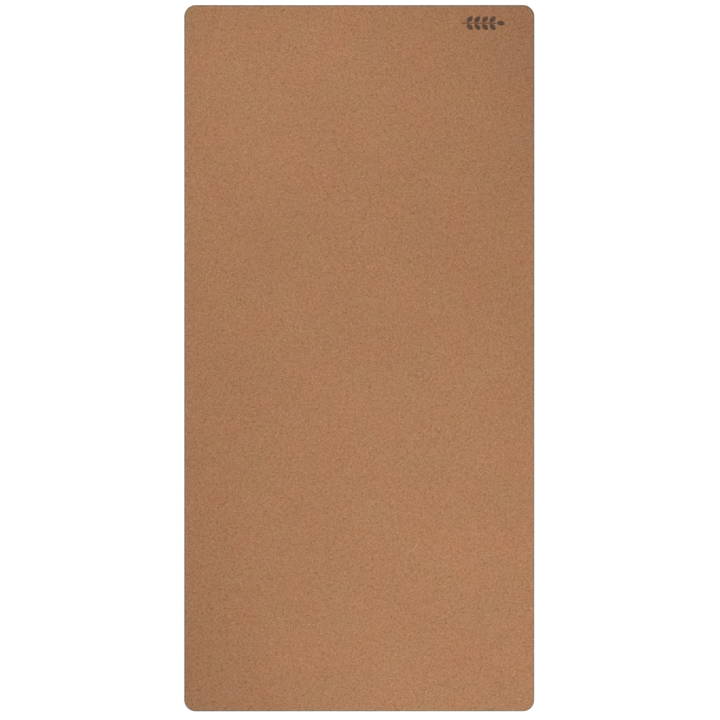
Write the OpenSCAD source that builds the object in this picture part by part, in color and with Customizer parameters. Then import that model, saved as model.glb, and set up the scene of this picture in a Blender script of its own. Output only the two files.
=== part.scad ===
// Desk mat: a cork face sheet bonded to a foam rubber base, with a small printed sprig in one corner.
// Frame: origin at the centre of the underside, +Z up out of the working surface, +Y along the
// length towards the printed end, +X to the right when the print is the right way up. Millimetres.

/* [Mat] */
// Length of the mat, along Y
mat_length = 800; // [600:5:900]
// Width of the mat, along X
mat_width = 396.5; // [290:0.5:450]
// Radius of the four die-cut corners
corner_radius = 13; // [8:0.5:25]

/* [Layers] */
// Thickness of the cork face sheet
cork_thickness = 1; // [0.8:0.1:2]
// Thickness of the bonding film between cork and rubber
film_thickness = 0.1; // [0.05:0.05:0.2]
// Thickness of the foam rubber base
base_thickness = 1.9; // [1:0.1:4]
// How far the base shows past the cork all round
base_lip = 0.3; // [0.1:0.1:1]

/* [Printed sprig] */
// Distance from the sprig's leaf tip to the right edge of the mat
sprig_side_margin = 33.5; // [25:0.5:60]
// Distance from the sprig's stem to the top edge of the mat
sprig_stem_margin = 20.8; // [15:0.1:40]
// Number of leaf pairs on the stem
leaf_pairs = 4; // [2:1:5]
// Length of one leaf
leaf_length = 8.9; // [7:0.1:14]
// Width of one leaf at its middle
leaf_width = 5.5; // [2.5:0.1:5.8]
// Angle between a side leaf and the stem, in degrees
leaf_angle = 45; // [30:1:50]
// Width of the stem
stem_width = 1.2; // [0.8:0.1:2]
// Thickness of the ink film, which lies in a pressed recess, flush with the cork
ink_thickness = 0.05; // [0.03:0.01:0.1]

/* [Hidden] */
$fn = 96;

// The film ends halfway across the lip, between the cork's edge and the base's edge.
film_inset = base_lip / 2;
film_bottom = base_thickness;
cork_bottom = film_bottom + film_thickness;
cork_top = cork_bottom + cork_thickness;

// A leaf's near tip stands off the stem by a stencil gap, and the middle lines of two leaves lie a
// leaf's width and a gap apart, so each leaf is its own patch of ink. The stem runs on past the
// last pair, and the tip leaf follows it in line.
stencil_gap = 0.6;
stem_clearance = stem_width / 2 + stencil_gap;
side_leaf_start = stem_clearance / sin(leaf_angle);
pair_pitch = (leaf_width + stencil_gap) / sin(leaf_angle);
first_pair = 3.8;
stem_tail = 8;
stem_length = first_pair + pair_pitch * (leaf_pairs - 1) + stem_tail;
sprig_length = stem_length + stem_clearance + leaf_length;
sprig_x = mat_width / 2 - sprig_side_margin - sprig_length;
sprig_y = mat_length / 2 - sprig_stem_margin;
ink_bottom = cork_top - ink_thickness;

// Outline of one layer, standing in from the mat's own outline by inset.
module rounded_outline(inset) {
    w = mat_width - 2 * inset;
    l = mat_length - 2 * inset;
    r = corner_radius - inset;
    square([w - 2 * r, l], center = true);
    square([w, l - 2 * r], center = true);
    for (x = [-1, 1], y = [-1, 1])
        translate([x * (w / 2 - r), y * (l / 2 - r)])
            circle(r);
}

// One flat layer of the laminate.
module layer(inset, bottom, thickness) {
    translate([0, 0, bottom])
        linear_extrude(thickness)
            rounded_outline(inset);
}

// A pointed leaf from the origin along +X, where two equal arcs cross.
module leaf_outline() {
    arc_radius = (leaf_length ^ 2 + leaf_width ^ 2) / (4 * leaf_width);
    translate([leaf_length / 2, 0])
        intersection_for (side = [-1, 1])
            translate([0, side * (arc_radius - leaf_width / 2)])
                circle(arc_radius);
}

// The stem, a straight bar with round ends, from the origin along +X.
module stem_outline() {
    translate([0, -stem_width / 2])
        square([stem_length, stem_width]);
    for (x = [0, stem_length])
        translate([x, 0])
            circle(d = stem_width);
}

// The whole sprig: its stem, its tip leaf and its pairs of side leaves.
module sprig_outline() {
    stem_outline();
    translate([stem_length + stem_clearance, 0])
        leaf_outline();
    for (i = [0 : leaf_pairs - 1], side = [-1, 1])
        translate([first_pair + i * pair_pitch, 0])
            rotate(side * leaf_angle)
                translate([side_leaf_start, 0])
                    leaf_outline();
}

// The sprig's ink, from the recess's floor up by thickness.
module sprig_block(thickness) {
    translate([sprig_x, sprig_y, ink_bottom])
        linear_extrude(thickness)
            sprig_outline();
}

module cork_face() {
    color([0.67, 0.49, 0.35])
        difference() {
            layer(base_lip, cork_bottom, cork_thickness);
            sprig_block(2 * ink_thickness);
        }
}

module bonding_film() {
    color([0.62, 0.55, 0.42])
        layer(film_inset, film_bottom, film_thickness);
}

module rubber_base() {
    color([0.07, 0.07, 0.07])
        layer(0, 0, base_thickness);
}

module printed_sprig() {
    color([0.38, 0.27, 0.2])
        sprig_block(ink_thickness);
}

cork_face();
bonding_film();
rubber_base();
printed_sprig();
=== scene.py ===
import math

import bpy
import numpy as np
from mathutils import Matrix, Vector, noise


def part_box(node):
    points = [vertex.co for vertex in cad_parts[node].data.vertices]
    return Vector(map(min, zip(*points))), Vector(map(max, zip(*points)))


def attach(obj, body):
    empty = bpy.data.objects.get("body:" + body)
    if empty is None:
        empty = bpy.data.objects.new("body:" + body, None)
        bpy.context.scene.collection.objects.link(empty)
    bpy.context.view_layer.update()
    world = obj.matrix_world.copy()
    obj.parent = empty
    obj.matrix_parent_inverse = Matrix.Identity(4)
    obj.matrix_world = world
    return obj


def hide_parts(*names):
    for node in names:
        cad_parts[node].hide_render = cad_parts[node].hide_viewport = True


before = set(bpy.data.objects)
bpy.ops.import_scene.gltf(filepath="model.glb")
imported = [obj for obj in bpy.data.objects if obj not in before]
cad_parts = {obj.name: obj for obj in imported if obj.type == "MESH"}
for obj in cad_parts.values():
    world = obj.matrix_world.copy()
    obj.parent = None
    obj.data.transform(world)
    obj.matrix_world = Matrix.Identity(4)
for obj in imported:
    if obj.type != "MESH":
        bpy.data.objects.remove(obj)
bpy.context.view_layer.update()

# A cork desk mat, lying flat. Metres, in the frame of the CAD model: the origin is at the centre of
# the underside, +Z is up and +Y runs along the mat towards the end with the print.

MM = 0.001


# ---- Sizes taken from the frame ----

base_low, base_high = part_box("rubber_base")
cork_low, cork_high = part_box("cork_face")
print_low, print_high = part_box("printed_sprig")


def corner_radius(node):
    """The radius of a layer's rounded corners, from where its straight edges end."""
    tolerance = 0.001 * MM
    low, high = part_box(node)
    points = [v.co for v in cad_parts[node].data.vertices]
    straight_end = max(p.x for p in points if high.y - p.y < tolerance)
    return high.x - straight_end


def add_object(name, data):
    """Puts a mesh, a light or a camera in the scene as an object."""
    thing = bpy.data.objects.new(name, data)
    bpy.context.scene.collection.objects.link(thing)
    return thing


# ---- Rounded sheets as meshes ----

# How far a cut edge wanders from its line, and the length of one wave of it.
EDGE_WANDER = 0.05 * MM
WANDER_LENGTH = 3 * MM


def grid_lines(half, radius, corner_cells, lines_between):
    """Places of the grid lines along one axis: even across each corner, and as given between."""
    corner = np.linspace(half - radius, half, corner_cells + 1)
    return np.concatenate([-corner[::-1], lines_between, corner])


def rounded(x, y, half_x, half_y, radius):
    """Pulls the square corners of a grid of points in onto round ones."""
    u = np.maximum(np.abs(x) - (half_x - radius), 0) / radius
    v = np.maximum(np.abs(y) - (half_y - radius), 0) / radius
    pull = np.maximum(u, v) / np.maximum(np.hypot(u, v), 1e-9)
    in_corner = (u > 0) & (v > 0)
    x = np.where(in_corner, np.sign(x) * (half_x - radius + radius * u * pull), x)
    y = np.where(in_corner, np.sign(y) * (half_y - radius + radius * v * pull), y)
    return x, y


def rim(grid):
    """The points round the edge of a grid, anticlockwise seen from above."""
    return np.concatenate([grid[0, :-1], grid[:-1, -1], grid[-1, :0:-1], grid[:0:-1, 0]])


class Sheet:
    """A closed mesh of a rounded sheet: one gridded face, rings down its edge, and a plain face.

    lines_x and lines_y are the places of the gridded face's lines between the corners.
    """

    def __init__(self, half_x, half_y, radius, corner_cells, lines_x, lines_y):
        self.flat_x = half_x - radius
        self.flat_y = half_y - radius
        self.radius = radius
        self.corner_cells = corner_cells
        self.lines_x = lines_x
        self.lines_y = lines_y

    def outline(self, inset):
        """The grid's points for a face that stands in from the outline by inset."""
        radius = self.radius - inset
        half_x = self.flat_x + radius
        half_y = self.flat_y + radius
        x = grid_lines(half_x, radius, self.corner_cells, self.lines_x)
        y = grid_lines(half_y, radius, self.corner_cells, self.lines_y)
        return rounded(*np.meshgrid(x, y), half_x, half_y, radius)

    def ring_points(self, inset, height):
        """The points of one ring down the edge, moved in and out by the wander of the cut."""
        x, y = (rim(grid) for grid in self.outline(inset))
        out = 1 + edge_jitter(x, y, height) / np.hypot(x, y)
        return np.stack([x * out, y * out, np.full(len(x), height)], -1)

    def build(self, name, face_height, profile, faces_up):
        """Makes the mesh object.

        face_height gives the gridded face's height at x and y. profile is a list of (inset,
        height) down the edge, from the gridded face's own edge to the plain face's.
        """
        x, y = self.outline(profile[0][0])
        z = face_height(x, y)
        rows, columns = x.shape
        number = np.arange(rows * columns).reshape(rows, columns)
        quads = np.stack(
            [number[:-1, :-1], number[:-1, 1:], number[1:, 1:], number[1:, :-1]], -1
        ).reshape(-1, 4)
        points = [np.stack([x, y, z], -1).reshape(-1, 3)]
        faces = [quads]
        ring = rim(number)
        count = rows * columns
        for inset, height in profile[1:]:
            points.append(self.ring_points(inset, height))
            new_ring = count + np.arange(len(ring))
            count += len(ring)
            faces.append(np.stack([ring, new_ring, np.roll(new_ring, -1), np.roll(ring, -1)], -1))
            ring = new_ring
        polygons = np.concatenate(faces).tolist() + [ring[::-1].tolist()]
        if not faces_up:
            polygons = [p[::-1] for p in polygons]
        mesh = bpy.data.meshes.new(name)
        mesh.from_pydata(np.concatenate(points).tolist(), [], polygons)
        mesh.validate()
        return add_object(name, mesh)


def edge_jitter(x, y, height):
    """How far the cut edge stands off its line, at each point of a ring."""
    scale = 1 / WANDER_LENGTH
    return np.array(
        [EDGE_WANDER * noise.noise((a * scale, b * scale, height * scale)) for a, b in zip(x, y)]
    )


def quarter_round(radius, height, steps, side):
    """Part of a profile that rounds a face's edge off, at a height, from the face outwards.

    The round runs up from the height if side is 1, and down if side is -1.
    """
    return [
        (radius * (1 - math.sin(turn)), height + side * radius * (1 - math.cos(turn)))
        for turn in np.radians(np.linspace(0, 90, steps + 1))
    ]


def smooth_below(piece, degrees):
    """Shades a piece smooth, apart from edges sharper than the angle."""
    piece.data.shade_smooth()
    piece.data.set_sharp_from_angle(angle=math.radians(degrees))


# ---- The pieces ----


def noise_at(x, y, scale, layer):
    """Smooth noise at each point of a grid; each layer has its own pattern."""
    values = [noise.noise((a * scale, b * scale, layer)) for a, b in zip(x.ravel(), y.ravel())]
    return np.array(values).reshape(x.shape)


def make_cork():
    """The cork sheet: a slightly uneven face, a worn arris and a cut edge.

    Round the print, which lies flush with it, the face is even.
    """
    cell = 2.0 * MM
    arris = 0.3 * MM
    lowest_ring = 0.3 * MM
    unevenness = 0.02 * MM
    wide_bumps, small_bumps = 180, 420  # per metre
    small_height = 0.6
    press_depth = 0.015 * MM
    press_margin = 6 * MM
    radius = corner_radius("cork_face")
    half_x, half_y = cork_high.x, cork_high.y
    flat_x, flat_y = half_x - radius, half_y - radius
    lines_x = np.linspace(-flat_x, flat_x, round(2 * flat_x / cell) + 1)[1:-1]
    lines_y = np.linspace(-flat_y, flat_y, round(2 * flat_y / cell) + 1)[1:-1]
    sheet = Sheet(half_x, half_y, radius, round(radius / cell), lines_x, lines_y)
    middle = (print_low + print_high) / 2
    reach = (print_high - print_low) / 2

    def height(x, y):
        """Even near the print and at most unevenness lower further off."""
        off_x = np.maximum(np.abs(x - middle.x) - reach.x, 0)
        off_y = np.maximum(np.abs(y - middle.y) - reach.y, 0)
        clear = np.clip(np.hypot(off_x, off_y) / press_margin, 0, 1)
        bumps = noise_at(x, y, wide_bumps, 0) + small_height * noise_at(x, y, small_bumps, 9)
        return cork_high.z - press_depth - unevenness * clear * (1 + bumps) / 2

    face_edge = cork_high.z - press_depth - unevenness / 2
    profile = quarter_round(arris, face_edge, steps=5, side=-1)
    profile += [(0, cork_low.z + lowest_ring), (0, cork_low.z)]
    piece = sheet.build("cork_sheet", height, profile, faces_up=True)
    smooth_below(piece, degrees=40)
    return piece


def make_base():
    """The foam rubber base: pads with grooves between them underneath, inside a plain border."""
    corner_cells = 8
    pitch = 5.9 * MM
    groove_depth = 0.25 * MM
    groove_half = 0.6 * MM
    top_round = 0.12 * MM
    foot_round = 0.35 * MM
    radius = corner_radius("rubber_base")
    half_x, half_y = base_high.x, base_high.y
    flat_x, flat_y = half_x - radius, half_y - radius

    def pad_lines(flat):
        """Three lines for each groove; the corners' own lines stand for the outermost two."""
        count = round(2 * flat / pitch)
        grooves = np.linspace(-flat, flat, count + 1)
        around = grooves[:, None] + np.array([-groove_half, 0, groove_half])
        return around.ravel()[2:-2]

    lines_x, lines_y = pad_lines(flat_x), pad_lines(flat_y)
    sheet = Sheet(half_x, half_y, radius, corner_cells, lines_x, lines_y)

    def height(x, y):
        """Flat, but every third line each way is the bottom of a groove."""
        z = np.full(x.shape, base_low.z)
        pads = z[corner_cells:-corner_cells, corner_cells:-corner_cells]
        pads[:, ::3] = base_low.z + groove_depth
        pads[::3, :] = base_low.z + groove_depth
        return z

    profile = quarter_round(foot_round, base_low.z, steps=4, side=1)
    profile += [(0, (base_low.z + base_high.z) / 2)]
    profile += quarter_round(top_round, base_high.z, steps=3, side=-1)[::-1]
    piece = sheet.build("foam_rubber_base", height, profile, faces_up=False)
    smooth_below(piece, degrees=18)
    return piece


# ---- Materials ----

# Sizes in the cork: its coarse and fine granules, the grain inside them, and how far the granules'
# outlines wander from straight lines.
GRANULE = 1.2 * MM
FINE_GRANULE = 0.42 * MM
GRAIN = 0.2 * MM
GRANULE_WANDER = 0.35 * MM


def add(tree, kind, inputs=None, **settings):
    """Adds one shader node. Each input is given a value, or the socket that feeds it."""
    node = tree.nodes.new("ShaderNode" + kind)
    for name, value in settings.items():
        setattr(node, name, value)
    for name, value in (inputs or {}).items():
        if isinstance(value, bpy.types.NodeSocket):
            tree.links.new(value, node.inputs[name])
        else:
            node.inputs[name].default_value = value
    return node


def new_material(name, **shader_values):
    """A material with its tree, its Principled shader, and the place on the object.

    Each shader value is given under its socket's name, with _ for a space.
    """
    material = bpy.data.materials.new(name)
    material.use_nodes = True
    tree = material.node_tree
    shader = tree.nodes["Principled BSDF"]
    for socket, value in shader_values.items():
        shader.inputs[socket.replace("_", " ")].default_value = value
    place = add(tree, "TexCoord").outputs["Object"]
    return material, tree, shader, place


def maths(tree, operation, a, b):
    """One operation on two numbers, such as SUBTRACT or GREATER_THAN."""
    return add(tree, "Math", {0: a, 1: b}, operation=operation).outputs[0]


def scaled(tree, value, low, high):
    """Takes a value that runs from 0 to 1 to one that runs from low to high."""
    return add(tree, "MapRange", {"Value": value, "To Min": low, "To Max": high}).outputs[0]


def between(tree, value, low, high):
    """Takes a value that runs from low to high to one that runs from 0 to 1, held at its ends."""
    return add(tree, "MapRange", {"Value": value, "From Min": low, "From Max": high}).outputs[0]


def mixed(tree, factor, a, b, blend="MIX"):
    """Blends two colours. The numbers are the Mix node's own, for its sockets for colours."""
    node = add(tree, "Mix", {0: factor, 6: a, 7: b}, data_type="RGBA", blend_type=blend)
    return node.outputs[2]


def tinted(tree, colour, factor, low, high):
    """Multiplies a colour by a tint that runs from low to high as the factor goes from 0 to 1."""
    tint = mixed(tree, factor, (*low, 1), (*high, 1))
    return mixed(tree, 1.0, colour, tint, "MULTIPLY")


def ramp(tree, factor, stops):
    """A colour that runs through stops, each a place from 0 to 1 and a colour."""
    node = add(tree, "ValToRGB", {"Fac": factor})
    elements = node.color_ramp.elements
    while len(elements) < len(stops):
        elements.new(0.5)
    for element, (place, colour) in zip(elements, stops):
        element.position = place
        element.color = (*colour, 1)
    return node.outputs["Color"]


def noise_value(tree, place, size, detail=2.0, roughness=0.5):
    """Smooth noise whose features are about size metres across, centred on 0.5."""
    inputs = {"Vector": place, "Scale": 1 / size, "Detail": detail, "Roughness": roughness}
    return add(tree, "TexNoise", inputs).outputs["Fac"]


def warped(tree, place, size, amount):
    """The place moved about by noise, so that what is drawn there loses its straight lines."""
    wobble = add(tree, "TexNoise", {"Vector": place, "Scale": 1 / size, "Detail": 2.0})
    centred = add(
        tree, "VectorMath", {0: wobble.outputs["Color"], 1: (0.5, 0.5, 0.5)}, operation="SUBTRACT"
    )
    moved = add(
        tree,
        "VectorMath",
        {0: centred.outputs["Vector"], 1: (2 * amount,) * 3, 2: place},
        operation="MULTIPLY_ADD",
    )
    return moved.outputs["Vector"]


def granules(tree, place, size):
    """Pressed cork granules: two random numbers for each granule."""
    cells = add(tree, "TexVoronoi", {"Vector": place, "Scale": 1 / size})
    pick = add(tree, "SeparateColor", {"Color": cells.outputs["Color"]})
    return pick.outputs["Red"], pick.outputs["Green"]


def joints(tree, place, size):
    """How far it is to the joint between two granules: 0 in it, and more inside a granule."""
    inputs = {"Vector": place, "Scale": 1 / size}
    return add(tree, "TexVoronoi", inputs, feature="DISTANCE_TO_EDGE").outputs["Distance"]


def edge_distance(tree, place, half_x, half_y, radius):
    """How far a place is inside the outline of a rounded sheet."""
    flat = (half_x - radius, half_y - radius, 0)
    size = add(tree, "VectorMath", {0: place}, operation="ABSOLUTE").outputs[0]
    over = add(tree, "VectorMath", {0: size, 1: flat}, operation="SUBTRACT").outputs[0]
    over = add(tree, "VectorMath", {0: over, 1: (0, 0, 0)}, operation="MAXIMUM").outputs[0]
    over = add(tree, "VectorMath", {0: over, 1: (1, 1, 0)}, operation="MULTIPLY").outputs[0]
    reach = add(tree, "VectorMath", {0: over}, operation="LENGTH").outputs["Value"]
    return maths(tree, "SUBTRACT", radius, reach)


def cork_material():
    """Fine agglomerated cork: granules of many browns, dark flecks, and a rim darkened by painted
    shade and greyed.
    """
    material, tree, shader, place = new_material("cork", Specular_IOR_Level=0.2)
    loose = warped(tree, place, GRANULE, GRANULE_WANDER)
    coarse, coarse_other = granules(tree, loose, GRANULE)
    fine, fine_other = granules(tree, loose, FINE_GRANULE)
    joint = between(tree, joints(tree, loose, GRANULE), 0.0, 0.06)
    grain = noise_value(tree, place, GRAIN)
    inputs = {"Vector": loose, "Scale": 1 / (2 * GRANULE)}
    clumps = add(tree, "TexVoronoi", inputs, voronoi_dimensions="2D")
    out_of_clump = between(tree, clumps.outputs["Distance"], 0.05, 0.8)

    colour = ramp(tree, coarse, [
        (0.0, (0.307, 0.132, 0.055)),
        (0.08, (0.384, 0.183, 0.087)),
        (0.5, (0.411, 0.201, 0.099)),
        (0.92, (0.437, 0.217, 0.111)),
        (1.0, (0.503, 0.262, 0.141)),
    ])
    # Light cork is paler than dark cork as well, so these tints change blue most and red least.
    colour = tinted(tree, colour, out_of_clump, (1.09, 1.125, 1.20), (0.91, 0.875, 0.80))
    colour = tinted(tree, colour, fine, (0.945, 0.92, 0.88), (1.055, 1.08, 1.12))
    colour = tinted(tree, colour, grain, (0.93, 0.91, 0.87), (1.07, 1.09, 1.13))
    colour = tinted(tree, colour, joint, (0.93, 0.91, 0.87), (1, 1, 1))

    # Soft patches, in lightness and then in hue.
    cloud = noise_value(tree, place, 90 * MM, detail=1)
    colour = tinted(tree, colour, cloud, (0.94, 0.94, 0.94), (1.06, 1.06, 1.06))
    redness = noise_value(tree, place, 45 * MM)
    colour = tinted(tree, colour, redness, (1.088, 0.967, 1), (0.912, 1.033, 1))
    blueness = noise_value(tree, loose, 26 * MM)
    colour = tinted(tree, colour, blueness, (1, 1, 0.92), (1, 1, 1.08))

    # Three in a hundred fine granules are flecks, half way to a dark brown.
    fleck = maths(tree, "MULTIPLY", maths(tree, "GREATER_THAN", fine_other, 0.97), 0.5)
    colour = mixed(tree, fleck, colour, (0.13, 0.055, 0.028, 1))

    # Painted shade: darker in the outer 2 mm, standing in for shade on the rounded cut edge, and
    # greyed a little further in.
    inside = edge_distance(tree, place, cork_high.x, cork_high.y, corner_radius("cork_face"))
    outside_painted_edge_shade = between(tree, inside, 1.5 * MM, 2.0 * MM)
    colour = tinted(tree, colour, outside_painted_edge_shade, (0.81, 0.89, 0.98), (1, 1, 1))
    ungreyed = between(tree, inside, 2.5 * MM, 3.2 * MM)
    colour = tinted(tree, colour, ungreyed, (0.93, 1.07, 1.22), (1, 1, 1))
    tree.links.new(colour, shader.inputs["Base Color"])
    tree.links.new(scaled(tree, coarse_other, 0.76, 0.92), shader.inputs["Roughness"])

    relief = {0: joint, 1: 1.5, 2: grain}
    height = add(tree, "Math", relief, operation="MULTIPLY_ADD").outputs[0]
    bump = add(tree, "Bump", {"Height": height, "Strength": 0.5, "Distance": 0.025 * MM})
    tree.links.new(bump.outputs["Normal"], shader.inputs["Normal"])
    return material


def ink_material():
    """Screen ink on cork: dark brown, a little uneven by granule, and thin in small spots."""
    material, tree, shader, place = new_material("ink", Specular_IOR_Level=0.3)
    loose = warped(tree, place, GRANULE, GRANULE_WANDER)
    coarse, coarse_other = granules(tree, loose, GRANULE)
    grain = noise_value(tree, place, GRAIN)
    colour = ramp(tree, coarse, [
        (0.0, (0.080, 0.042, 0.023)),
        (0.6, (0.112, 0.059, 0.033)),
        (1.0, (0.150, 0.080, 0.046)),
    ])
    bare = maths(tree, "MULTIPLY", maths(tree, "GREATER_THAN", grain, 0.66), 0.35)
    colour = mixed(tree, bare, colour, (0.33, 0.16, 0.085, 1))
    tree.links.new(colour, shader.inputs["Base Color"])
    tree.links.new(scaled(tree, coarse_other, 0.55, 0.75), shader.inputs["Roughness"])
    inputs = {"Height": joints(tree, loose, GRANULE), "Strength": 0.4, "Distance": 0.03 * MM}
    tree.links.new(add(tree, "Bump", inputs).outputs["Normal"], shader.inputs["Normal"])
    return material


def rubber_material():
    """Foam rubber: nearly black and matt, with small open cells darkened by painted shade, and some
    dust.
    """
    material, tree, shader, place = new_material("foam_rubber", Specular_IOR_Level=0.35)
    cell_size = 0.4 * MM
    closed_share = 0.45
    loose = warped(tree, place, 0.8 * MM, 0.15 * MM)
    cells = add(tree, "TexVoronoi", {"Vector": loose, "Scale": 1 / cell_size})
    pick = add(tree, "SeparateColor", {"Color": cells.outputs["Color"]}).outputs["Red"]
    wall = between(tree, cells.outputs["Distance"], 0.12, 0.34)
    solid = maths(tree, "MAXIMUM", wall, maths(tree, "LESS_THAN", pick, closed_share))
    dust = noise_value(tree, place, 9 * MM, detail=4, roughness=0.6)
    colour = ramp(tree, dust, [(0.3, (0.019, 0.018, 0.018)), (0.7, (0.036, 0.035, 0.034))])
    # Painted shade: open cells are drawn darker, as shade in the pores.
    painted_pore_shade = scaled(tree, solid, 0.35, 1.0)
    colour = add(tree, "VectorMath", {0: colour, 3: painted_pore_shade}, operation="SCALE").outputs[0]
    tree.links.new(colour, shader.inputs["Base Color"])
    tree.links.new(scaled(tree, dust, 0.72, 0.9), shader.inputs["Roughness"])
    bump = add(tree, "Bump", {"Height": solid, "Strength": 0.6, "Distance": 0.06 * MM})
    tree.links.new(bump.outputs["Normal"], shader.inputs["Normal"])
    return material


def film_material():
    """Dried adhesive: amber and cloudy, with streaks along the mat from the roller."""
    material, tree, shader, place = new_material("adhesive_film", Specular_IOR_Level=0.5)
    streaks = add(tree, "Mapping", {"Vector": place, "Scale": (1, 0.05, 1)}).outputs["Vector"]
    cloud = noise_value(tree, streaks, 4 * MM, detail=3)
    colour = ramp(tree, cloud, [(0.3, (0.30, 0.22, 0.12)), (0.7, (0.38, 0.30, 0.18))])
    tree.links.new(colour, shader.inputs["Base Color"])
    tree.links.new(scaled(tree, cloud, 0.35, 0.6), shader.inputs["Roughness"])
    return material


# ---- The mat put together ----

cork = make_cork()
base = make_base()
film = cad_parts["bonding_film"]
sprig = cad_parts["printed_sprig"]

for piece, material, slot in (
    (cork, cork_material(), "cork"),
    (film, film_material(), "film"),
    (base, rubber_material(), "rubber"),
    (sprig, ink_material(), "ink"),
):
    piece.data.materials.clear()
    piece.data.materials.append(material)

for piece, node in ((cork, "cork_face"), (base, "rubber_base")):
    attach(piece, "root")
    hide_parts(node)


# ---- Floor, light and camera ----


def add_floor():
    """A plain pale floor, just under the mat. It glows a little, so its shadows stay faint."""
    half = 12.0
    gap = 0.05 * MM
    mesh = bpy.data.meshes.new("floor")
    corners = [(-half, -half, 0), (half, -half, 0), (half, half, 0), (-half, half, 0)]
    mesh.from_pydata(corners, [], [(0, 1, 2, 3)])
    floor = add_object("floor", mesh)
    floor.location.z = -gap
    material = bpy.data.materials.new("floor")
    material.use_nodes = True
    shader = material.node_tree.nodes["Principled BSDF"]
    shader.inputs["Base Color"].default_value = (0.5, 0.5, 0.5, 1)
    shader.inputs["Roughness"].default_value = 0.9
    shader.inputs["Emission Color"].default_value = (1, 1, 1, 1)
    shader.inputs["Emission Strength"].default_value = 0.7
    mesh.materials.append(material)


def add_dome(horizon, overhead):
    """White light from all round, brighter low down, where it meets the floor.

    It is even from even_above up, which is the sine of an angle above the horizon.
    """
    even_above = 0.35
    world = bpy.data.worlds.new("studio")
    world.use_nodes = True
    tree = world.node_tree
    direction = add(tree, "TexCoord").outputs["Generated"]
    height = add(tree, "SeparateXYZ", {"Vector": direction}).outputs["Z"]
    inputs = {"Value": height, "From Max": even_above, "To Min": horizon, "To Max": overhead}
    strength = add(tree, "MapRange", inputs).outputs[0]
    background = tree.nodes["Background"]
    background.inputs["Color"].default_value = (1, 1, 1, 1)
    tree.links.new(strength, background.inputs["Strength"])
    bpy.context.scene.world = world


def add_lamp(name, place, target, cone, watts):
    """A wide soft-edged spotlight; cone is its full angle in degrees."""
    light = bpy.data.lights.new(name, "SPOT")
    light.spot_size = math.radians(cone)
    light.spot_blend = 1.0
    light.shadow_soft_size = 0.05
    light.energy = watts
    lamp = add_object(name, light)
    lamp.location = place
    aim = Vector(target) - Vector(place)
    lamp.rotation_euler = aim.to_track_quat("-Z", "Y").to_euler()


def add_camera():
    """Straight down on the mat, which nearly fills the height of the picture.

    view_width is how much the camera sees at the cork's height.
    """
    view_width = 0.81497
    aim_x, aim_y = 0.00084, -0.00207
    camera_data = bpy.data.cameras.new("camera")
    camera_data.lens = 100
    camera_data.sensor_width = 36
    distance = view_width * camera_data.lens / camera_data.sensor_width
    camera = add_object("camera", camera_data)
    camera.location = (aim_x, aim_y, cork_high.z + distance)
    bpy.context.scene.camera = camera


add_floor()
add_dome(horizon=1.05, overhead=0.632)
add_lamp("key", (0.35, -1.2, 1.22), (0.14, -0.37, 0.0), 32, 31.6)
add_lamp("fill", (-0.35, 1.2, 1.03), (0.0, 0.05, 0.0), 35.5, 41.5)
add_camera()
bpy.context.scene.view_settings.view_transform = "Standard"
